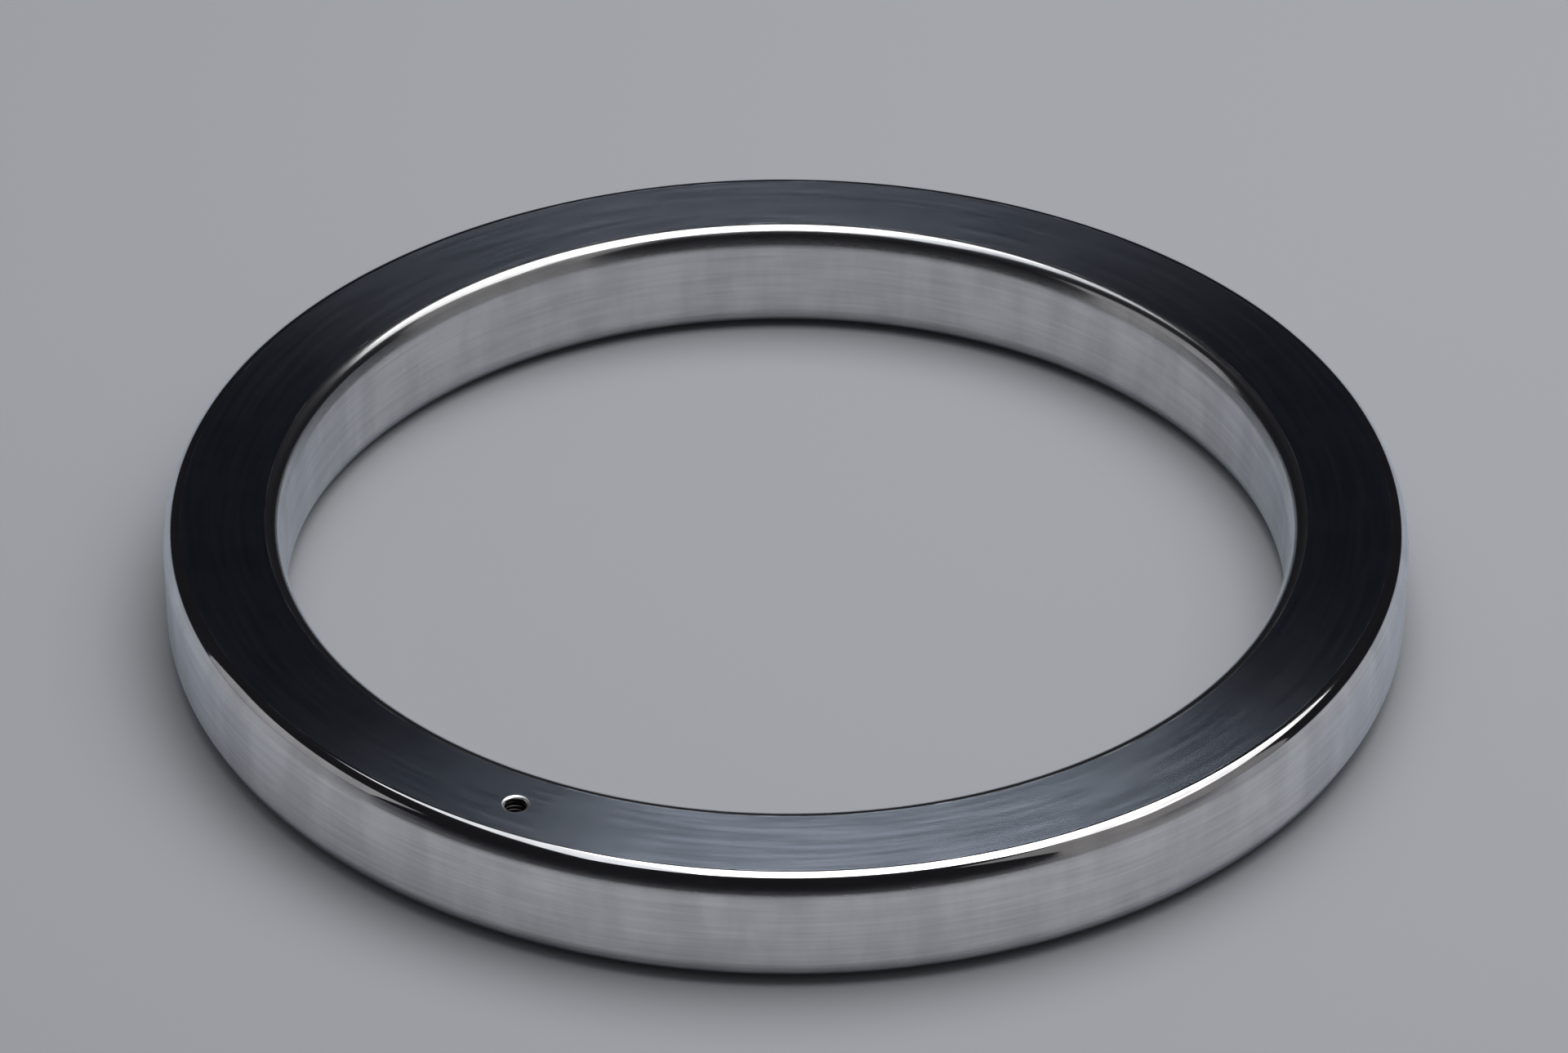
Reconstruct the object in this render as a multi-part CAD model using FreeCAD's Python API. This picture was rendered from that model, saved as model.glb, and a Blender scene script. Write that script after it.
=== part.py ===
import FreeCAD, Part
import math
import os

# Ring joint gasket of the pressure-energised square pattern, in millimetres.
# +Z is the ring's axis, the origin lies on it at the underside,
# and the small tapped hole stands on +X.

# Turned ring
outside_diameter = 147.96
height = 14.22
section_width = 14.22

# Sealing corners: a bevel between each flat and each land,
# rolled into the flat by the shoulder and into the land by a softer blend
bevel_angle = 23.0
bevel_inset = 1.00
shoulder_radius = 1.70
land_blend_radius = 2.50

# Tapped hole through the section at its minor diameter, countersunk at both flats
minor_diameter = 2.50
mouth_diameter = 3.20
mouth_angle = 90.0

# Places that follow from the sizes above
outer_radius = outside_diameter / 2
bore_radius = outer_radius - section_width
centreline_radius = outer_radius - section_width / 2
bevel_height = bevel_inset / math.tan(math.radians(bevel_angle))

CENTRE = FreeCAD.Vector(0, 0, 0)
AXIS = FreeCAD.Vector(0, 0, 1)
HALF_TURN = 180


def section_corners():
    """The sharp corners of the octagonal section in the XZ plane, each with its rounding."""
    outer_flat = outer_radius - bevel_inset
    inner_flat = bore_radius + bevel_inset
    land_top = height - bevel_height
    return [
        (inner_flat, 0, shoulder_radius),
        (outer_flat, 0, shoulder_radius),
        (outer_radius, bevel_height, land_blend_radius),
        (outer_radius, land_top, land_blend_radius),
        (outer_flat, height, shoulder_radius),
        (inner_flat, height, shoulder_radius),
        (bore_radius, land_top, land_blend_radius),
        (bore_radius, bevel_height, land_blend_radius),
    ]


def rounded_corner(before, corner, after, radius):
    """The arc of one radius that rounds a corner, tangent to both of its sides."""
    to_before = (before - corner).normalize()
    to_after = (after - corner).normalize()
    half_angle = to_before.getAngle(to_after) / 2
    bisector = (to_before + to_after).normalize()
    setback = radius / math.tan(half_angle)
    crown = corner + bisector * (radius / math.sin(half_angle) - radius)
    return Part.Arc(corner + to_before * setback, crown, corner + to_after * setback)


def section_face():
    """The ring's section, its eight corners rounded and joined by straight sides."""
    corners = section_corners()
    points = [FreeCAD.Vector(radius, 0, level) for radius, level, rounding in corners]
    arcs = []
    for index, (radius, level, rounding) in enumerate(corners):
        after = points[(index + 1) % len(points)]
        arcs.append(rounded_corner(points[index - 1], points[index], after, rounding))
    edges = []
    for index, arc in enumerate(arcs):
        edges.append(Part.LineSegment(arcs[index - 1].EndPoint, arc.StartPoint).toShape())
        edges.append(arc.toShape())
    return Part.Face(Part.Wire(edges))


def turned_ring():
    """The section turned round the axis, as one half and its mirror image across the YZ plane."""
    half = section_face().revolve(CENTRE, AXIS, HALF_TURN)
    half.rotate(CENTRE, AXIS, -HALF_TURN / 2)
    return half.fuse(half.mirror(CENTRE, FreeCAD.Vector(1, 0, 0)))


def tapped_hole():
    """The hole through the section, opened by a countersink at both flats."""
    minor_radius = minor_diameter / 2
    mouth_radius = mouth_diameter / 2
    mouth_depth = (mouth_radius - minor_radius) / math.tan(math.radians(mouth_angle / 2))
    foot = FreeCAD.Vector(centreline_radius, 0, 0)
    head = FreeCAD.Vector(centreline_radius, 0, height)
    bore = Part.makeCylinder(minor_radius, height, foot, AXIS)
    lower_mouth = Part.makeCone(mouth_radius, minor_radius, mouth_depth, foot, AXIS)
    upper_mouth = Part.makeCone(mouth_radius, minor_radius, mouth_depth, head, -AXIS)
    return bore.fuse([lower_mouth, upper_mouth])


def seal_ring():
    """The finished gasket, one turned solid with one hole."""
    return turned_ring().cut(tapped_hole()).Solids[0]


os.makedirs("parts", exist_ok=True)
ring = seal_ring()
ring.exportStep("parts/seal_ring.step")
print("seal_ring", "valid", ring.isValid(), "volume", round(ring.Volume, 1), "mm3")
print("bore", round(2 * bore_radius, 2), "flat width", round(section_width - 2 * bevel_inset, 2))
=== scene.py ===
"""Dressed model of a ring joint gasket: a turned steel sealing ring that lies on a studio floor.

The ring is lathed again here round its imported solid, finely enough for polished shoulders to carry
clean highlights, with its small hole tapped in true geometry. Lengths are in metres.
"""

import logging
import math
from dataclasses import dataclass, field
from enum import Enum

import bpy
from mathutils import Matrix, Vector


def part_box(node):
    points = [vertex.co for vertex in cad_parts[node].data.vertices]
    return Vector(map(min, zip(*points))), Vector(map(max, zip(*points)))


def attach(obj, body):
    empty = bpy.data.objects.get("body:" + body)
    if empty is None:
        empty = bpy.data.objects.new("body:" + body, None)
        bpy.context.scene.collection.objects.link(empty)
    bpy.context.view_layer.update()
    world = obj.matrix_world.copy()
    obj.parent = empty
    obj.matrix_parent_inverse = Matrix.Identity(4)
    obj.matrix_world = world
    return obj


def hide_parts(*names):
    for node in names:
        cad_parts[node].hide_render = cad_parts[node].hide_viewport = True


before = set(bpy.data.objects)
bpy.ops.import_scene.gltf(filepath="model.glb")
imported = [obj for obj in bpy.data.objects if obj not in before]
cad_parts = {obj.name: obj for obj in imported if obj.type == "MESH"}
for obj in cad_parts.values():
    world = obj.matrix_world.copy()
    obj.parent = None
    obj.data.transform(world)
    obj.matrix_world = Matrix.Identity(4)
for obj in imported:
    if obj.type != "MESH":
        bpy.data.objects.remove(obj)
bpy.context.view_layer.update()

LOG = logging.getLogger("gasket")
RING_NODE = "seal_ring"
MM = 0.001
MICRON = 0.001 * MM
UP = Vector((0.0, 0.0, 1.0))

# Both countersinks are right-angled cones, so they slope this far from the flat.
MOUTH_SLOPE = math.pi / 4

# Noise runs from 0 to 1 about this value.
NOISE_MIDDLE = 0.5

Number = float | bpy.types.NodeSocket
Colour = tuple[float, float, float]


class Zone(Enum):
    """The surfaces of the ring that are finished in different ways, numbered as material slots."""

    FLAT = 0
    SIDE = 1
    BORE = 2
    MOUTH = 3
    THREAD = 4


@dataclass(frozen=True)
class ProfilePoint:
    """One corner of the lathed profile, with the finish of the strip that follows it."""

    radius: float
    level: float
    out: float
    up: float
    zone: Zone

    def place(self, angle: float) -> Vector:
        """The point at one angle round the ring's axis."""
        return Vector((self.radius * math.cos(angle), self.radius * math.sin(angle), self.level))

    def normal(self, angle: float) -> Vector:
        """The outward normal at one angle round the ring's axis."""
        return Vector((self.out * math.cos(angle), self.out * math.sin(angle), self.up))


@dataclass(frozen=True)
class RingSection:
    """The square section with four rolled sealing corners."""

    outer_radius: float
    height: float
    width: float = 14.22 * MM
    bevel_angle: float = 23.0
    bevel_inset: float = 1.0 * MM
    shoulder_radius: float = 1.70 * MM
    land_blend_radius: float = 2.50 * MM
    flat_steps: int = 6
    shoulder_steps: int = 18
    blend_steps: int = 8
    land_steps: int = 3

    @property
    def centreline(self) -> float:
        """The radius of the middle of the section."""
        return self.outer_radius - self.width / 2

    @property
    def half_flat(self) -> float:
        """Half the width of a flat between its two shoulders."""
        corner_turn = math.radians(90 - self.bevel_angle)
        setback = self.shoulder_radius * math.tan(corner_turn / 2)
        return self.width / 2 - self.bevel_inset - setback

    def quarter(self) -> list[tuple[float, float, float, Zone]]:
        """The outline of one corner, from the middle of a flat to the middle of a land.

        Returns:
            Offset from the centreline, height above mid height, tilt of the normal away from
            the ring's axis, and the zone of the strip that follows, for each point.
        """
        bevel_tilt = math.radians(90 - self.bevel_angle)
        blend_setback = self.land_blend_radius * math.tan(math.radians(self.bevel_angle) / 2)
        land_top = self.height / 2 - self.bevel_inset / math.tan(math.radians(self.bevel_angle))
        blend_end = land_top - blend_setback
        points: list[tuple[float, float, float, Zone]] = []
        for step in range(self.flat_steps):
            offset = self.half_flat * step / self.flat_steps
            points.append((offset, self.height / 2, 0.0, Zone.FLAT))
        for step in range(self.shoulder_steps + 1):
            tilt = bevel_tilt * step / self.shoulder_steps
            offset = self.half_flat + self.shoulder_radius * math.sin(tilt)
            rise = self.height / 2 - self.shoulder_radius * (1 - math.cos(tilt))
            points.append((offset, rise, tilt, Zone.SIDE))
        for step in range(self.blend_steps + 1):
            tilt = bevel_tilt + (math.pi / 2 - bevel_tilt) * step / self.blend_steps
            offset = self.width / 2 - self.land_blend_radius * (1 - math.sin(tilt))
            rise = blend_end + self.land_blend_radius * math.cos(tilt)
            points.append((offset, rise, tilt, Zone.SIDE))
        for step in range(1, self.land_steps + 1):
            rise = blend_end * (1 - step / self.land_steps)
            points.append((self.width / 2, rise, math.pi / 2, Zone.SIDE))
        return points

    def outline(self) -> list[ProfilePoint]:
        """The whole closed outline, clockwise in radius and level from the top flat's middle.

        Returns:
            The corners, each with the zone of the strip that leads to the next one.
        """
        quarter = self.quarter()
        middle = self.height / 2
        outline: list[ProfilePoint] = []
        for side, rising in ((1, 1), (1, -1), (-1, -1), (-1, 1)):
            forward = side * rising > 0
            walk = quarter if forward else quarter[::-1]
            for index, (offset, rise, tilt, zone) in enumerate(walk[:-1]):
                strip_zone = zone if forward else walk[index + 1][3]
                if side < 0 and strip_zone is Zone.SIDE:
                    strip_zone = Zone.BORE
                outline.append(ProfilePoint(
                    radius=self.centreline + side * offset,
                    level=middle + rising * rise,
                    out=side * math.sin(tilt),
                    up=rising * math.cos(tilt),
                    zone=strip_zone,
                ))
        return outline


@dataclass
class MeshBuilder:
    """Collects welded points and faces with a normal for each corner of each face."""

    weld: float = 1e-7
    points: list[Vector] = field(default_factory=list)
    faces: list[tuple[int, ...]] = field(default_factory=list)
    normals: list[Vector] = field(default_factory=list)
    zones: list[int] = field(default_factory=list)
    known: dict[tuple[int, int, int], int] = field(default_factory=dict)

    def point(self, place: Vector) -> int:
        """Finds the index of a point, shared with any earlier one at the same place.

        Args:
            place: where the point lies.

        Returns:
            The index.
        """
        key = (round(place.x / self.weld), round(place.y / self.weld), round(place.z / self.weld))
        if key not in self.known:
            self.known[key] = len(self.points)
            self.points.append(place)
        return self.known[key]

    def face(self, places: list[Vector], zone: Zone, normals: list[Vector] | None = None) -> None:
        """Adds one face, or nothing where its corners have run together.

        Args:
            places: the corners, counter-clockwise seen from outside.
            zone: the finish of the face.
            normals: a normal for each corner, or None for the face's own.
        """
        indices = [self.point(place) for place in places]
        kept = [i for i, index in enumerate(indices) if index != indices[i - 1]]
        if len(kept) < 3:
            return
        if normals is None:
            first, second, third = (self.points[indices[i]] for i in kept[:3])
            flat = (second - first).cross(third - second).normalized()
            normals = [flat] * len(places)
        self.faces.append(tuple(indices[i] for i in kept))
        self.normals.extend(normals[i] for i in kept)
        self.zones.append(zone.value)

    def build(self, name: str) -> bpy.types.Object:
        """Makes the object from what was collected.

        Args:
            name: the name of the piece and of its mesh.

        Returns:
            The new object, linked into the scene.
        """
        mesh = bpy.data.meshes.new(name)
        mesh.from_pydata([tuple(p) for p in self.points], [], self.faces)
        mesh.polygons.foreach_set("material_index", self.zones)
        mesh.polygons.foreach_set("use_smooth", [True] * len(self.faces))
        mesh.normals_split_custom_set([tuple(n) for n in self.normals])
        mesh.update()
        piece = bpy.data.objects.new(name, mesh)
        bpy.context.scene.collection.objects.link(piece)
        return piece


@dataclass(frozen=True)
class TappedHole:
    """The small right-hand tapped hole through the section, countersunk at both flats."""

    centre: float
    height: float
    minor_radius: float = 1.25 * MM
    major_radius: float = 1.50 * MM
    pitch: float = 0.50 * MM
    mouth_radius: float = 1.60 * MM
    edge_break: float = 0.12 * MM
    columns: int = 96
    break_steps: int = 3
    crest_share: float = 0.25
    root_share: float = 0.125
    lead_in: float = 0.60 * MM
    lip_bend: float = 1.5

    @property
    def break_setback(self) -> float:
        """How far the broken edge reaches from the sharp corner of the mouth."""
        return self.edge_break * math.tan(MOUTH_SLOPE / 2)

    @property
    def rim_radius(self) -> float:
        """The radius at which the flat gives way to the mouth."""
        return self.mouth_radius + self.break_setback

    @property
    def cone_end(self) -> float:
        """The depth below the flat at which the cone of the mouth begins."""
        return self.break_setback * math.sin(MOUTH_SLOPE)

    @property
    def cone_depth(self) -> float:
        """The depth below the flat at which a mouth has narrowed to the thread's crests."""
        return self.mouth_radius - self.minor_radius

    def angle(self, column: int) -> float:
        """The angle of one column of points round the hole."""
        return 2 * math.pi * (column % self.columns) / self.columns

    def place(self, radius: float, column: int, level: float) -> Vector:
        """A point of the hole in the ring's frame."""
        angle = self.angle(column)
        return Vector((self.centre + radius * math.cos(angle), radius * math.sin(angle), level))

    def cone_radius(self, level: float) -> float:
        """The radius of the nearer countersink at one level, both being right-angled cones."""
        return self.mouth_radius - min(level, self.height - level)

    def thread_rows(self) -> list[tuple[float, float]]:
        """The rows of one turn of the thread.

        Returns:
            For each row its share of the pitch and its radius, from one crest to the next.
        """
        flank = (1 - self.crest_share - self.root_share) / 2
        middle = (self.minor_radius + self.major_radius) / 2
        root = self.crest_share + flank
        return [
            (0.0, self.minor_radius),
            (self.crest_share, self.minor_radius),
            (self.crest_share + flank / 2, middle),
            (root, self.major_radius),
            (root + self.root_share, self.major_radius),
            (root + self.root_share + flank / 2, middle),
        ]

    def thread_point(self, row: int, column: int) -> tuple[Vector, bool]:
        """Places one corner of the thread's skin, cut back to nothing towards both mouths.

        Args:
            row: which row, counted along the helix.
            column: which column round the hole; the thread climbs one pitch in a full turn.

        Returns:
            The point, and whether it lies on the cone of a mouth.
        """
        rows = self.thread_rows()
        turn, step = divmod(row, len(rows))
        share, radius = rows[step]
        level = (turn + share + column / self.columns) * self.pitch
        level = min(max(level, self.cone_end), self.height - self.cone_end)
        below_cone = min(level, self.height - level) - self.cone_depth
        cut = min(max(below_cone / self.lead_in, 0.0), 1.0)
        radius = self.minor_radius + (radius - self.minor_radius) * cut
        cone = self.cone_radius(level)
        return self.place(max(radius, cone), column, level), cone >= radius

    def lip_normal(self, column: int, level: float) -> Vector:
        """The normal of a mouth's rolled lip, which turns from the flat's into the cone's.

        Args:
            column: the column round the hole.
            level: the height of the point.

        Returns:
            The normal that shades the lip.
        """
        angle = self.angle(column)
        depth = min(level, self.height - level) / self.cone_depth
        tilt = MOUTH_SLOPE * min(self.lip_bend * depth, 1.0)
        rise = math.cos(tilt) if level > self.height / 2 else -math.cos(tilt)
        return Vector((-math.sin(tilt) * math.cos(angle), -math.sin(tilt) * math.sin(angle), rise))

    def cut_thread(self, builder: MeshBuilder) -> None:
        """Adds the threaded wall and both cones.

        Args:
            builder: takes the faces.
        """
        per_turn = len(self.thread_rows())
        last_row = math.ceil(self.height / self.pitch) * per_turn
        for row in range(-per_turn - 1, last_row + 1):
            for column in range(self.columns):
                corners = [
                    self.thread_point(row, column),
                    self.thread_point(row + 1, column),
                    self.thread_point(row + 1, column + 1),
                    self.thread_point(row, column + 1),
                ]
                places = [place for place, on_cone in corners]
                normals = None
                zone = Zone.THREAD
                if all(on_cone for place, on_cone in corners):
                    zone = Zone.MOUTH
                    sides = (column, column, column + 1, column + 1)
                    normals = [self.lip_normal(c, place.z) for c, place in zip(sides, places)]
                builder.face(places, zone, normals)

    def break_edge(self, builder: MeshBuilder, upward: bool) -> None:
        """Adds the rolled edge between one flat and its mouth, in the flat's finish.

        Args:
            builder: takes the faces.
            upward: whether this is the mouth in the top flat.
        """
        side = 1 if upward else -1
        face_level = self.height if upward else 0.0
        arc: list[tuple[float, float]] = []
        for step in range(self.break_steps + 1):
            tilt = MOUTH_SLOPE * step / self.break_steps
            radius = self.rim_radius - self.edge_break * math.sin(tilt)
            depth = self.edge_break * (1 - math.cos(tilt))
            arc.append((radius, face_level - side * depth))
        for (radius, level), (next_radius, next_level) in zip(arc, arc[1:]):
            for column in range(self.columns):
                corners = [
                    (radius, column, level), (radius, column + 1, level),
                    (next_radius, column + 1, next_level), (next_radius, column, next_level),
                ]
                if not upward:
                    corners.reverse()
                places = [self.place(r, c, z) for r, c, z in corners]
                normals = [self.lip_normal(c, z) for r, c, z in corners]
                builder.face(places, Zone.FLAT, normals)


@dataclass
class TurnedRing:
    """The gasket's whole skin: the lathed ring, and the flats pierced by the tapped hole."""

    section: RingSection
    hole: TappedHole
    columns: int = 480
    window_columns: int = 3
    window_steps: int = 3

    def angle(self, column: int) -> float:
        """The angle of one column of points round the ring."""
        return 2 * math.pi * (column % self.columns) / self.columns

    def in_window(self, point: ProfilePoint, following: ProfilePoint, column: int) -> bool:
        """Whether a quad of a flat lies in the square that is left open for the hole."""
        if point.zone is not Zone.FLAT:
            return False
        reach = self.section.half_flat * (self.window_steps + 0.5) / self.section.flat_steps
        if any(abs(p.radius - self.section.centreline) >= reach for p in (point, following)):
            return False
        return min(column, self.columns - 1 - column) < self.window_columns

    def lathe(self, builder: MeshBuilder) -> None:
        """Adds the turned surface, with a window in each flat.

        Args:
            builder: takes the faces.
        """
        outline = self.section.outline()
        for point, following in zip(outline, outline[1:] + outline[:1]):
            for column in range(self.columns):
                if self.in_window(point, following, column):
                    continue
                near, far = self.angle(column), self.angle(column + 1)
                corners = [(point, near), (following, near), (following, far), (point, far)]
                places = [corner.place(angle) for corner, angle in corners]
                normals = [corner.normal(angle) for corner, angle in corners]
                builder.face(places, point.zone, normals)

    def window_rim(self, level: float) -> list[Vector]:
        """The corners round the open square in a flat, counter-clockwise seen from above.

        Args:
            level: the height of the flat.

        Returns:
            The points, starting on +X.
        """
        reach = self.window_steps
        span = self.window_columns
        walk = [(reach, c) for c in range(0, span)]
        walk += [(s, span) for s in range(reach, -reach, -1)]
        walk += [(-reach, c) for c in range(span, -span, -1)]
        walk += [(s, -span) for s in range(-reach, reach)]
        walk += [(reach, c) for c in range(-span, 0)]
        section = self.section
        rim: list[Vector] = []
        for step, column in walk:
            radius = section.centreline + section.half_flat * step / section.flat_steps
            angle = self.angle(column)
            rim.append(Vector((radius * math.cos(angle), radius * math.sin(angle), level)))
        return rim

    def pierce(self, builder: MeshBuilder, upward: bool) -> None:
        """Closes the window in one flat round the rim of the hole.

        Args:
            builder: takes the faces.
            upward: whether this is the top flat.
        """
        level = self.section.height if upward else 0.0
        rim = self.window_rim(level)
        share = self.hole.columns // len(rim)
        normal = Vector((0.0, 0.0, 1.0 if upward else -1.0))
        for index, corner in enumerate(rim):
            following = rim[(index + 1) % len(rim)]
            first = index * share
            columns = range(first, first + share + 1)
            mouth = [self.hole.place(self.hole.rim_radius, column, level) for column in columns]
            triangles = [[corner, mouth[i + 1], mouth[i]] for i in range(share)]
            triangles.append([corner, following, mouth[share]])
            for places in triangles:
                if not upward:
                    places.reverse()
                builder.face(places, Zone.FLAT, [normal] * len(places))

    def build(self) -> bpy.types.Object:
        """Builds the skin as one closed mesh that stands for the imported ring.

        Returns:
            The piece, not yet dressed.
        """
        builder = MeshBuilder()
        self.lathe(builder)
        for upward in (True, False):
            self.pierce(builder, upward)
            self.hole.break_edge(builder, upward)
        self.hole.cut_thread(builder)
        return builder.build("seal_ring_turned")

    def dress(self, piece: bpy.types.Object, finishes: dict[Zone, "SteelFinish"]) -> None:
        """Gives each zone its finish, and ties the piece to the frame.

        Args:
            piece: the ring's skin.
            finishes: the finish of each zone.
        """
        for zone in Zone:
            piece.data.materials.append(finishes[zone].material())
        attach(piece, "root")
        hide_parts(RING_NODE)


class NodeSheet:
    """Adds and joins the nodes of one material, world or group."""

    # The colour sockets of a Mix node, which share their names with its other kinds.
    MIX_COLOURS = slice(6, 8)
    MIX_RESULT = 2

    def __init__(self, tree: bpy.types.NodeTree) -> None:
        """Takes an empty node tree."""
        self.tree = tree

    def add(self, kind: str, **settings: object) -> bpy.types.Node:
        """Adds a node.

        Args:
            kind: the node's type.
            settings: its properties by name.

        Returns:
            The new node.
        """
        node = self.tree.nodes.new(kind)
        for name, value in settings.items():
            setattr(node, name, value)
        return node

    def feed(self, socket: bpy.types.NodeSocket, source: object) -> None:
        """Joins a socket to another one, or sets it to a plain value.

        Args:
            socket: the input.
            source: the output that feeds it, or its value.
        """
        if isinstance(source, bpy.types.NodeSocket):
            self.tree.links.new(source, socket)
        else:
            socket.default_value = source

    def sum(self, operation: str, *sources: Number) -> bpy.types.NodeSocket:
        """Adds a Math node.

        Args:
            operation: what the node does.
            sources: its one to three inputs, each a socket or a number.

        Returns:
            The result's socket.
        """
        node = self.add("ShaderNodeMath", operation=operation)
        for socket, source in zip(node.inputs, sources):
            self.feed(socket, source)
        return node.outputs[0]

    def spread(self, source: bpy.types.NodeSocket, old: tuple[Number, Number],
               new: tuple[float, float] = (0.0, 1.0)) -> bpy.types.NodeSocket:
        """Maps a value from one range onto another, smoothly and without passing its ends.

        Args:
            source: the value.
            old: the range that it comes in.
            new: the range that it leaves in.

        Returns:
            The mapped value's socket.
        """
        node = self.add("ShaderNodeMapRange", interpolation_type="SMOOTHSTEP", clamp=True)
        for socket, value in zip(node.inputs, (source, *old, *new)):
            self.feed(socket, value)
        return node.outputs[0]

    def blend(self, mask: bpy.types.NodeSocket, low: Colour | bpy.types.NodeSocket,
              high: Colour | bpy.types.NodeSocket) -> bpy.types.NodeSocket:
        """Mixes two colours by a mask that varies over the surface.

        Args:
            mask: 0 for the first colour and 1 for the second.
            low: the first colour, as a socket or three numbers.
            high: the second colour, likewise.

        Returns:
            The mixed colour's socket.
        """
        node = self.add("ShaderNodeMix", data_type="RGBA")
        self.feed(node.inputs["Factor"], mask)
        for socket, colour in zip(node.inputs[self.MIX_COLOURS], (low, high)):
            joined = isinstance(colour, bpy.types.NodeSocket)
            self.feed(socket, colour if joined else (*colour, 1.0))
        return node.outputs[self.MIX_RESULT]

    def group(self, tree: bpy.types.NodeTree, **inputs: Number) -> bpy.types.Node:
        """Places a shared group.

        Args:
            tree: the group.
            inputs: values for its inputs, by name.

        Returns:
            The group's node.
        """
        node = self.add("ShaderNodeGroup", node_tree=tree)
        for name, source in inputs.items():
            self.feed(node.inputs[name.replace("_", " ").title()], source)
        return node


def new_group(name: str, inputs: dict[str, float],
              outputs: list[str]) -> tuple[NodeSheet, dict[str, bpy.types.Node]]:
    """Starts a shared shader node group with float sockets.

    Args:
        name: the group's name.
        inputs: the default of each input by name.
        outputs: the names of the outputs.

    Returns:
        A sheet to add nodes to, and a dict with the group's "in" and "out" nodes.
    """
    tree = bpy.data.node_groups.new(name, "ShaderNodeTree")
    for label, value in inputs.items():
        socket = tree.interface.new_socket(
            name=label, in_out="INPUT", socket_type="NodeSocketFloat")
        socket.default_value = value
    for label in outputs:
        tree.interface.new_socket(name=label, in_out="OUTPUT", socket_type="NodeSocketFloat")
    sheet = NodeSheet(tree)
    return sheet, {"in": sheet.add("NodeGroupInput"), "out": sheet.add("NodeGroupOutput")}


def lathe_coordinates(sheet: NodeSheet) -> tuple[bpy.types.NodeSocket, ...]:
    """Adds the turned piece's own coordinates: cosine and sine round the axis, radius and level.

    Args:
        sheet: where the nodes go.

    Returns:
        The four values' sockets.
    """
    split = sheet.add("ShaderNodeSeparateXYZ")
    sheet.feed(split.inputs[0], sheet.add("ShaderNodeTexCoord").outputs["Object"])
    x, y, level = split.outputs
    squares = sheet.sum("ADD", sheet.sum("MULTIPLY", x, x), sheet.sum("MULTIPLY", y, y))
    radius = sheet.sum("SQRT", squares)
    return sheet.sum("DIVIDE", x, radius), sheet.sum("DIVIDE", y, radius), radius, level


def lathe_noise(sheet: NodeSheet, arcs: Number, across: Number,
                detail: float) -> bpy.types.NodeSocket:
    """Adds noise that is drawn out round the ring's axis, on flats and walls alike.

    Args:
        sheet: where the nodes go.
        arcs: how many marks lie in one radian round the axis.
        across: how many marks lie in one metre across the lay.
        detail: how many finer layers the marks have.

    Returns:
        The noise's socket.
    """
    cosine, sine, radius, level = lathe_coordinates(sheet)
    place = sheet.add("ShaderNodeCombineXYZ")
    sheet.feed(place.inputs[0], sheet.sum("MULTIPLY", cosine, arcs))
    sheet.feed(place.inputs[1], sheet.sum("MULTIPLY", sine, arcs))
    sheet.feed(place.inputs[2], sheet.sum("MULTIPLY", radius, across))
    noise = sheet.add("ShaderNodeTexNoise", noise_dimensions="4D")
    sheet.feed(noise.inputs["Vector"], place.outputs[0])
    sheet.feed(noise.inputs["W"], sheet.sum("MULTIPLY", level, across))
    sheet.feed(noise.inputs["Scale"], 1.0)
    sheet.feed(noise.inputs["Detail"], detail)
    return noise.outputs["Fac"]


@dataclass(frozen=True)
class SharedEffects:
    """The node groups that several finishes use."""

    lay: bpy.types.NodeTree
    haze: bpy.types.NodeTree
    polish: bpy.types.NodeTree
    wear: bpy.types.NodeTree
    foot_shade: bpy.types.NodeTree


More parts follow.
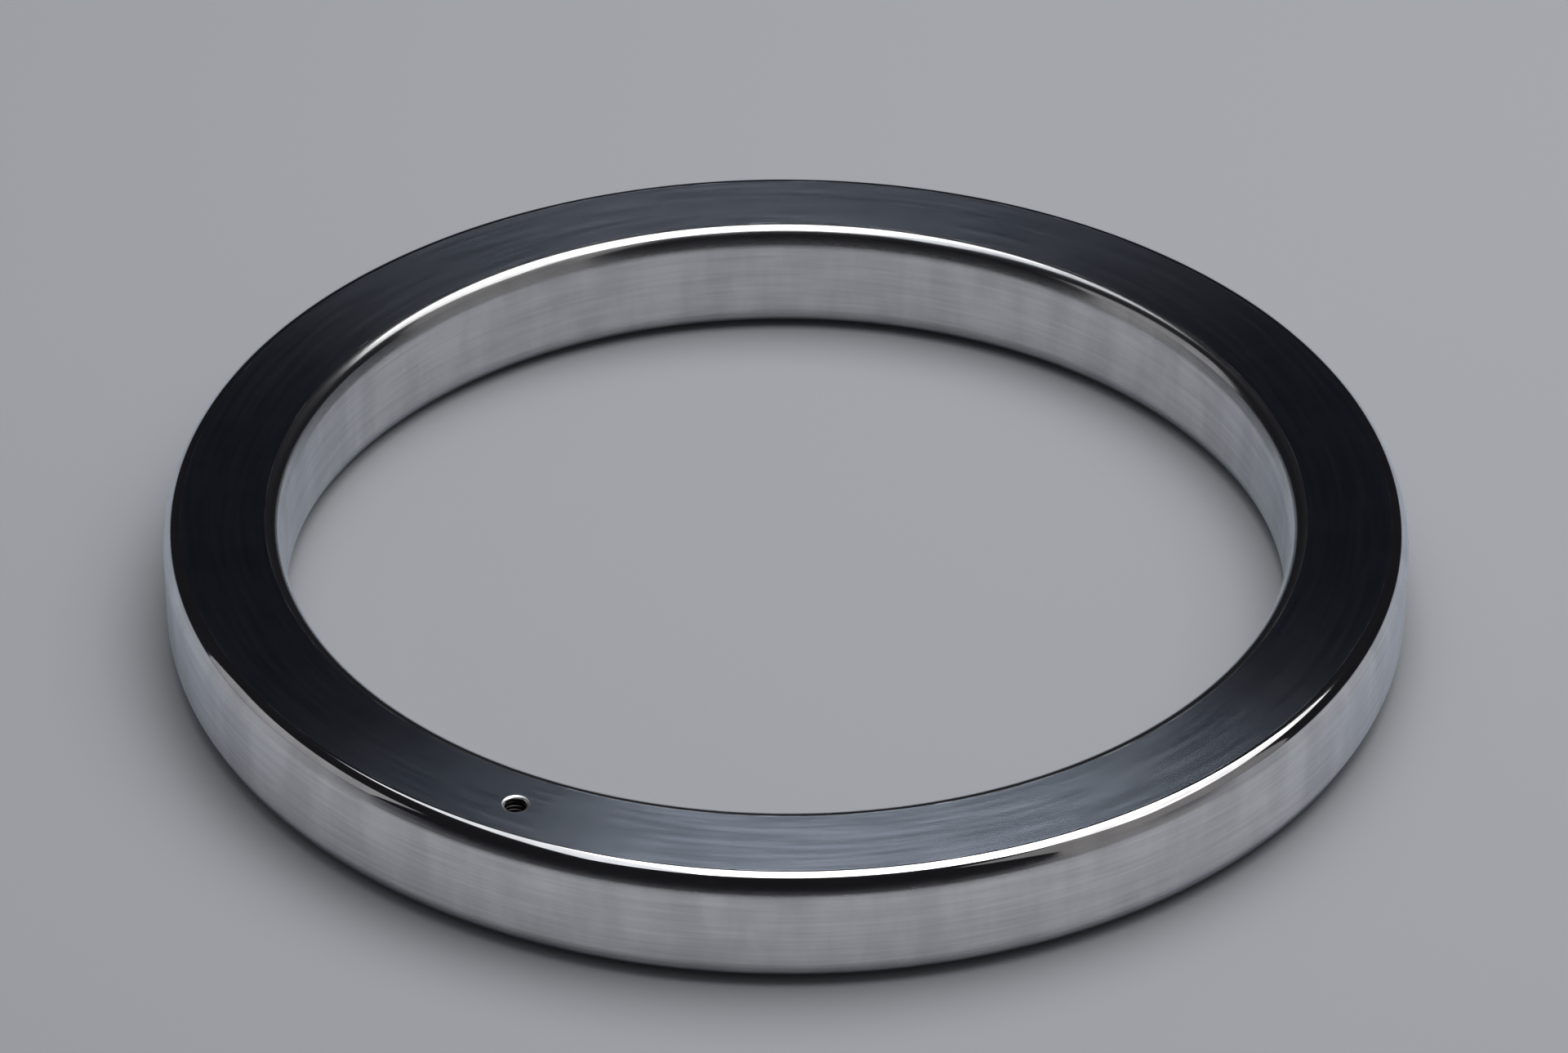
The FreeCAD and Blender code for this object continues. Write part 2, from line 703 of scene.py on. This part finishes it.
@dataclass(frozen=True)
class EffectMaker:
    """Builds the shared effects.

    A grain counts the marks in one metre across the lay and a detail their finer layers. A range
    of noise is the part of it that shows, from nothing to all.
    """

    section: RingSection
    lay_detail: float = 1.0
    scratch_range: tuple[float, float] = (0.66, 0.80)
    haze_detail: float = 4.0
    haze_range: tuple[float, float] = (0.34, 0.66)
    tear_grain: float = 2000.0
    tear_detail: float = 3.0
    wear_grain: float = 300.0
    wear_detail: float = 3.0
    wear_range: tuple[float, float] = (0.4, 0.62)
    wear_left_in_breaks: float = 0.15
    # The next four shape the painted shade that darkens the foot towards the floor.
    foot_shade_grain: float = 900.0
    foot_shade_detail: float = 2.0
    foot_shade_tear: float = 0.5 * MM
    foot_shade_edge: tuple[float, float] = (0.7 * MM, 1.7 * MM)

    def turned_lay(self) -> bpy.types.NodeTree:
        """Builds the tool lay: fine broken grooves that run round the ring's axis.

        Returns:
            A group with Lay, the height of the grooves, and Scratch, a mask of the few deep ones.
        """
        sheet, ends = new_group(
            "turned_lay",
            {"Arcs": 14.0, "Grooves": 1900.0, "Scratch Arcs": 4.0, "Scratch Grooves": 4200.0},
            ["Lay", "Scratch"],
        )
        given = ends["in"].outputs
        lay = lathe_noise(sheet, given["Arcs"], given["Grooves"], self.lay_detail)
        scratch = lathe_noise(
            sheet, given["Scratch Arcs"], given["Scratch Grooves"], self.lay_detail)
        sheet.feed(ends["out"].inputs["Lay"], lay)
        sheet.feed(ends["out"].inputs["Scratch"], sheet.spread(scratch, self.scratch_range))
        return sheet.tree

    def handling_haze(self) -> bpy.types.NodeTree:
        """Builds the haze that wiping leaves: soft clouds drawn out across the lay.

        Returns:
            A group with Haze, a mask from 0 on clean metal to 1 where it is dullest.
        """
        sheet, ends = new_group("handling_haze", {"Arcs": 16.0, "Rise": 70.0}, ["Haze"])
        given = ends["in"].outputs
        clouds = lathe_noise(sheet, given["Arcs"], given["Rise"], self.haze_detail)
        sheet.feed(ends["out"].inputs["Haze"], sheet.spread(clouds, self.haze_range))
        return sheet.tree

    def polish_ramp(self) -> bpy.types.NodeTree:
        """Builds the change from the polished shoulders to the satin of the walls.

        Returns:
            A group with Satin, which rises from 0 on the shoulder to 1 on the wall with a torn
            edge.
        """
        sheet, ends = new_group(
            "polish_ramp",
            {
                "Polished Depth": 0.9 * MM, "Satin Depth": 2.4 * MM,
                "Raggedness": 0.30 * MM, "Tears": 60.0,
            },
            ["Satin"],
        )
        given = ends["in"].outputs
        level = lathe_coordinates(sheet)[3]
        depth = sheet.sum("MINIMUM", level, sheet.sum("SUBTRACT", self.section.height, level))
        tears = lathe_noise(sheet, given["Tears"], self.tear_grain, self.tear_detail)
        tear = sheet.sum("SUBTRACT", tears, NOISE_MIDDLE)
        depth = sheet.sum("MULTIPLY_ADD", tear, given["Raggedness"], depth)
        ramp = sheet.spread(depth, (given["Polished Depth"], given["Satin Depth"]))
        sheet.feed(ends["out"].inputs["Satin"], ramp)
        return sheet.tree

    def edge_wear(self) -> bpy.types.NodeTree:
        """Builds the thin burnished lines where a flat rolls into its shoulders.

        Returns:
            A group with Wear, a mask along the edges of the flats.
        """
        sheet, ends = new_group("edge_wear", {"Width": 0.14 * MM, "Breaks": 14.0}, ["Wear"])
        given = ends["in"].outputs
        radius = lathe_coordinates(sheet)[2]
        offset = sheet.sum("ABSOLUTE", sheet.sum("SUBTRACT", radius, self.section.centreline))
        away = sheet.sum("ABSOLUTE", sheet.sum("SUBTRACT", offset, self.section.half_flat))
        line = sheet.sum("SUBTRACT", 1.0, sheet.sum("DIVIDE", away, given["Width"]))
        line = sheet.sum("MAXIMUM", line, 0.0)
        breaks = lathe_noise(sheet, given["Breaks"], self.wear_grain, self.wear_detail)
        broken = sheet.spread(breaks, self.wear_range, (self.wear_left_in_breaks, 1.0))
        sheet.feed(ends["out"].inputs["Wear"], sheet.sum("MULTIPLY", line, broken))
        return sheet.tree

    def painted_foot_shade(self) -> bpy.types.NodeTree:
        """Builds painted shade round the foot on which the ring stands, darkening it in place of a
        contact shadow.

        Returns:
            A group with Painted Shade, a mask from 0 above the foot to 1 at the floor.
        """
        sheet, ends = new_group("painted_foot_shade", {"Arcs": 20.0}, ["Film"])
        arcs = ends["in"].outputs["Arcs"]
        level = lathe_coordinates(sheet)[3]
        tears = lathe_noise(sheet, arcs, self.foot_shade_grain, self.foot_shade_detail)
        tear = sheet.sum("SUBTRACT", tears, NOISE_MIDDLE)
        height = sheet.sum("MULTIPLY_ADD", tear, self.foot_shade_tear, level)
        sheet.feed(ends["out"].inputs["Film"], sheet.spread(height, self.foot_shade_edge, (1.0, 0.0)))
        return sheet.tree

    def build(self) -> SharedEffects:
        """Builds every effect once.

        Returns:
            The groups for the finishes to share.
        """
        return SharedEffects(
            lay=self.turned_lay(),
            haze=self.handling_haze(),
            polish=self.polish_ramp(),
            wear=self.edge_wear(),
            foot_shade=self.painted_foot_shade(),
        )


@dataclass(frozen=True)
class SteelFinish:
    """One way in which the steel is turned or polished.

    The colour runs from clean to dull with the haze and the grooves. A finish that stands on the
    floor gets painted shade at its foot, its colour darkened there in place of a contact shadow.
    """

    name: str
    effects: SharedEffects
    clean: Colour
    dull: Colour
    edge_tint: Colour
    roughness: float
    satin_roughness: float
    anisotropy: float
    groove_roughness: float
    haze_roughness: float
    groove_tone: float
    groove_depth: float
    haze_tone: float = 0.3
    stands: bool = False
    foot_shade_colour: Colour = (0.24, 0.24, 0.25)
    arcs: float = 14.0
    grooves: float = 1900.0
    lay_turn: float = 0.25
    wear_roughness: float = 0.10
    least_roughness: float = 0.03

    def material(self) -> bpy.types.Material:
        """Builds the finish as a material.

        Returns:
            The new material, named after the finish.
        """
        material = bpy.data.materials.new(self.name)
        material.use_nodes = True
        sheet = NodeSheet(material.node_tree)
        shader = material.node_tree.nodes["Principled BSDF"]
        sheet.feed(shader.inputs["Metallic"], 1.0)
        sheet.feed(shader.inputs["Specular Tint"], (*self.edge_tint, 1.0))
        sheet.feed(shader.inputs["Anisotropic"], self.anisotropy)
        sheet.feed(shader.inputs["Anisotropic Rotation"], self.lay_turn)
        if self.anisotropy:
            tangent = sheet.add("ShaderNodeTangent", direction_type="RADIAL", axis="Z")
            sheet.feed(shader.inputs["Tangent"], tangent.outputs[0])
        lay = sheet.group(self.effects.lay, arcs=self.arcs, grooves=self.grooves)
        haze = sheet.group(self.effects.haze).outputs["Haze"]
        satin = sheet.group(self.effects.polish).outputs["Satin"]
        wear = sheet.group(self.effects.wear).outputs["Wear"]
        groove = sheet.sum("SUBTRACT", lay.outputs["Lay"], NOISE_MIDDLE)
        even_tone = NOISE_MIDDLE * (1.0 - self.haze_tone)
        tone = sheet.sum("MULTIPLY_ADD", haze, self.haze_tone, even_tone)
        tone = sheet.sum("MULTIPLY_ADD", groove, self.groove_tone, tone)
        colour = sheet.blend(tone, self.clean, self.dull)
        # Painted shade: the foot's colour is darkened towards the floor, standing in for its contact
        # shadow.
        if self.stands:
            foot_shade = sheet.group(self.effects.foot_shade).outputs["Film"]
            colour = sheet.blend(foot_shade, colour, self.foot_shade_colour)
        sheet.feed(shader.inputs["Base Color"], colour)
        roughness = self.roughness
        for mask, change in (
            (satin, self.satin_roughness - self.roughness),
            (haze, self.haze_roughness),
            (groove, self.groove_roughness),
            (lay.outputs["Scratch"], self.groove_roughness),
            (wear, self.wear_roughness),
        ):
            roughness = sheet.sum("MULTIPLY_ADD", mask, change, roughness)
        roughness = sheet.sum("MAXIMUM", roughness, self.least_roughness)
        sheet.feed(shader.inputs["Roughness"], roughness)
        bump = sheet.add("ShaderNodeBump")
        sheet.feed(bump.inputs["Strength"], 1.0)
        sheet.feed(bump.inputs["Distance"], self.groove_depth)
        sheet.feed(bump.inputs["Height"], lay.outputs["Lay"])
        sheet.feed(shader.inputs["Normal"], bump.outputs[0])
        return material


def steel_finishes(section: RingSection) -> dict[Zone, SteelFinish]:
    """The finish of each zone of the ring.

    Args:
        section: gives the places of the worn edges.

    Returns:
        A finish for every zone.
    """
    effects = EffectMaker(section).build()
    return {
        # The flats are turned steel with a painted blue tint, standing for the bluish light they
        # reflect.
        Zone.FLAT: SteelFinish(
            "steel_turned_flat", effects, clean=(0.685, 0.76, 0.90), dull=(0.42, 0.48, 0.585),
            edge_tint=(0.9, 0.95, 1.0), roughness=0.181, satin_roughness=0.181, anisotropy=0.889,
            groove_roughness=0.026, haze_roughness=0.006, groove_tone=-1.3,
            groove_depth=0.5 * MICRON, arcs=6.0, grooves=1500.0,
        ),
        Zone.SIDE: SteelFinish(
            "steel_rolled_side", effects, clean=(0.90, 0.89, 0.90), dull=(0.67, 0.66, 0.67),
            edge_tint=(0.86, 0.93, 1.0), roughness=0.06, satin_roughness=0.29, anisotropy=0.4,
            groove_roughness=0.05, haze_roughness=0.02, groove_tone=1.3, groove_depth=0.4 * MICRON,
            haze_tone=0.5, stands=True, arcs=6.0, grooves=2000.0,
        ),
        Zone.BORE: SteelFinish(
            "steel_bored_wall", effects, clean=(0.75, 0.75, 0.76), dull=(0.57, 0.57, 0.58),
            edge_tint=(0.88, 0.94, 1.0), roughness=0.16, satin_roughness=0.31, anisotropy=0.4,
            groove_roughness=0.05, haze_roughness=0.02, groove_tone=1.3, groove_depth=0.4 * MICRON,
            haze_tone=0.5, stands=True, arcs=6.0, grooves=2000.0,
        ),
        Zone.MOUTH: SteelFinish(
            "steel_rolled_mouth", effects, clean=(0.95, 0.96, 0.98), dull=(0.85, 0.86, 0.89),
            edge_tint=(1.0, 1.0, 1.0), roughness=0.33, satin_roughness=0.33, anisotropy=0.0,
            groove_roughness=0.0, haze_roughness=0.05, groove_tone=0.0, groove_depth=0.3 * MICRON,
        ),
        # The thread's colour is darkened nearly to black: painted shade for the inside of the hole.
        Zone.THREAD: SteelFinish(
            "steel_thread_painted_shade", effects, clean=(0.09, 0.088, 0.085), dull=(0.025, 0.025, 0.025),
            edge_tint=(0.4, 0.4, 0.4), roughness=0.28, satin_roughness=0.28, anisotropy=0.0,
            groove_roughness=0.0, haze_roughness=0.08, groove_tone=0.0, groove_depth=0.3 * MICRON,
        ),
    }


@dataclass(frozen=True)
class StudioAxes:
    """Directions in the studio as the photographer has them, in the ring's frame."""

    azimuth: float = 26.77

    @property
    def toward(self) -> Vector:
        """The level direction from the ring to the camera."""
        angle = math.radians(self.azimuth)
        return Vector((math.cos(angle), math.sin(angle), 0.0))

    @property
    def right(self) -> Vector:
        """The level direction to the camera's right."""
        toward = self.toward
        return Vector((-toward.y, toward.x, 0.0))

    def place(self, right: float, back: float, up: float) -> Vector:
        """A point given to the right of, behind and above the ring's origin."""
        return self.right * right - self.toward * back + UP * up


@dataclass(frozen=True)
class PhotoCamera:
    """The camera of the photo, aimed near the middle of the ring's top flat."""

    axes: StudioAxes
    distance: float = 0.815
    elevation: float = 34.79
    roll: float = 0.22
    aim_right: float = -0.00024
    aim_back: float = -0.00528
    focal_pixels: float = 8438.0
    image_width: int = 1920
    sensor_width: float = 36.0
    near_clip: float = 0.01
    far_clip: float = 50.0

    def build(self, top: float) -> None:
        """Makes the camera and hands it to the scene.

        Args:
            top: the level of the ring's top flat.
        """
        rise = math.radians(self.elevation)
        data = bpy.data.cameras.new("photo_camera")
        data.sensor_fit = "HORIZONTAL"
        data.sensor_width = self.sensor_width
        data.lens = self.focal_pixels / self.image_width * self.sensor_width
        data.clip_start = self.near_clip
        data.clip_end = self.far_clip
        camera = bpy.data.objects.new("photo_camera", data)
        forward = -self.axes.toward * math.cos(rise) - UP * math.sin(rise)
        aim = self.axes.place(self.aim_right, self.aim_back, top)
        level = self.axes.right
        above = level.cross(forward)
        turn = math.radians(self.roll)
        across = level * math.cos(turn) + above * math.sin(turn)
        upright = above * math.cos(turn) - level * math.sin(turn)
        pose = Matrix((across, upright, -forward)).transposed().to_4x4()
        pose.translation = aim - forward * self.distance
        camera.matrix_world = pose
        bpy.context.scene.collection.objects.link(camera)
        bpy.context.scene.camera = camera


@dataclass(frozen=True)
class Softbox:
    """One soft panel of light, hung level or turned to face the ring.

    Its place is given to the right of, behind and above the ring, as the photographer has it.
    """

    name: str
    right: float
    back: float
    up: float
    width: float
    depth: float
    radiance: float
    colour: Colour = (1.0, 1.0, 1.0)
    faces_ring: bool = False
    floor_only: bool = False

    def build(self, axes: StudioAxes, floor: bpy.types.Collection) -> None:
        """Hangs the panel.

        Args:
            axes: the studio's directions.
            floor: what a panel for the floor alone may light.
        """
        data = bpy.data.lights.new(self.name, "AREA")
        data.shape = "RECTANGLE"
        data.size = self.width
        data.size_y = self.depth
        data.energy = self.radiance * math.pi * self.width * self.depth
        data.color = self.colour
        lamp = bpy.data.objects.new(self.name, data)
        if self.floor_only:
            lamp.light_linking.receiver_collection = floor
        place = axes.place(self.right, self.back, self.up)
        behind, across = UP, axes.right
        if self.faces_ring:
            behind = place.normalized()
            across = UP.cross(behind).normalized()
        pose = Matrix((across, behind.cross(across), behind)).transposed().to_4x4()
        pose.translation = place
        lamp.matrix_world = pose
        bpy.context.scene.collection.objects.link(lamp)


@dataclass(frozen=True)
class Studio:
    """The floor, the dim room round it and the lamps over it."""

    axes: StudioAxes
    floor_colour: Colour = (0.345, 0.355, 0.38)
    floor_roughness: float = 0.9
    floor_gloss: float = 0.1
    floor_reach: float = 1.5
    floor_lip: float = 0.055
    floor_gap: float = 0.0006
    floor_sides: int = 96
    room_colour: Colour = (0.0100, 0.0100, 0.0118)
    backdrop_colour: Colour = (0.35, 0.36, 0.38)
    fill_colour: Colour = (0.14, 0.14, 0.143)

    def build_floor(self) -> bpy.types.Collection:
        """Lays a plain pale floor just under the ring, its far edge turned up a little.

        Returns:
            A collection that holds only the floor.
        """
        corners, faces = [], [tuple(range(self.floor_sides))]
        sheet_edge = (self.floor_reach, -self.floor_gap)
        lip_edge = (self.floor_reach + self.floor_lip, self.floor_lip)
        for reach, level in (sheet_edge, lip_edge):
            for side in range(self.floor_sides):
                angle = 2 * math.pi * side / self.floor_sides
                corners.append((reach * math.cos(angle), reach * math.sin(angle), level))
        for side in range(self.floor_sides):
            following = (side + 1) % self.floor_sides
            faces.append((side, side + self.floor_sides, following + self.floor_sides, following))
        mesh = bpy.data.meshes.new("studio_floor")
        mesh.from_pydata(corners, [], faces)
        floor = bpy.data.objects.new("studio_floor", mesh)
        bpy.context.scene.collection.objects.link(floor)
        material = bpy.data.materials.new("floor_paper")
        material.use_nodes = True
        sheet = NodeSheet(material.node_tree)
        shader = material.node_tree.nodes["Principled BSDF"]
        sheet.feed(shader.inputs["Base Color"], (*self.floor_colour, 1.0))
        sheet.feed(shader.inputs["Roughness"], self.floor_roughness)
        sheet.feed(shader.inputs["Specular IOR Level"], self.floor_gloss)
        mesh.materials.append(material)
        alone = bpy.data.collections.new("floor_alone")
        alone.objects.link(floor)
        return alone

    def build_room(self) -> None:
        """Darkens the room for the metal, and keeps it pale for the camera and the floor."""
        world = bpy.data.worlds.new("studio_room")
        world.use_nodes = True
        bpy.context.scene.world = world
        sheet = NodeSheet(world.node_tree)
        backdrop = world.node_tree.nodes["Background"]
        path = sheet.add("ShaderNodeLightPath")
        pale = sheet.blend(path.outputs["Is Diffuse Ray"], self.backdrop_colour, self.fill_colour)
        shown = sheet.blend(path.outputs["Is Glossy Ray"], pale, self.room_colour)
        sheet.feed(backdrop.inputs["Color"], shown)

    def build_lamps(self, floor: bpy.types.Collection) -> None:
        """Hangs the overhead softbox with its dimmer edges, the floor's own and two side cards.

        Args:
            floor: what the floor's own softbox lights.
        """
        lamps = [
            Softbox(
                "overhead_softbox", right=0.13, back=0.116, up=0.664, width=0.48, depth=0.703,
                radiance=3.1,
            ),
            Softbox(
                "softbox_left_edge", right=-0.1925, back=0.116, up=0.664, width=0.165, depth=0.703,
                radiance=1.0, colour=(0.94, 0.97, 1.0),
            ),
            Softbox(
                "softbox_right_edge", right=0.54, back=0.116, up=0.664, width=0.34, depth=0.703,
                radiance=1.15,
            ),
            Softbox(
                "floor_softbox", right=0.03, back=0.136, up=0.67, width=1.4, depth=0.9,
                radiance=0.42, floor_only=True,
            ),
            Softbox(
                "right_card", right=1.0, back=-0.41, up=0.56, width=1.1, depth=1.15,
                radiance=0.19, colour=(1.0, 0.98, 0.98), faces_ring=True,
            ),
            Softbox(
                "left_card", right=-1.2, back=0.04, up=0.40, width=1.0, depth=0.79,
                radiance=0.28, colour=(1.0, 0.99, 1.0), faces_ring=True,
            ),
        ]
        for lamp in lamps:
            lamp.build(self.axes, floor)
            LOG.info("lamp %s", lamp.name)


def set_colour_view() -> None:
    """Shows colours as they are written."""
    bpy.context.scene.view_settings.view_transform = "Standard"


def main() -> None:
    """Builds the gasket, its camera and its studio."""
    logging.basicConfig(level=logging.INFO, format="%(message)s")
    low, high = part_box(RING_NODE)
    section = RingSection(outer_radius=high.x, height=high.z - low.z)
    hole = TappedHole(centre=section.centreline, height=section.height)
    ring = TurnedRing(section, hole)
    piece = ring.build()
    ring.dress(piece, steel_finishes(section))
    LOG.info("piece %s: %d faces", piece.name, len(piece.data.polygons))
    axes = StudioAxes()
    PhotoCamera(axes).build(section.height)
    studio = Studio(axes)
    floor = studio.build_floor()
    studio.build_room()
    studio.build_lamps(floor)
    set_colour_view()


if __name__ == "__main__":
    main()
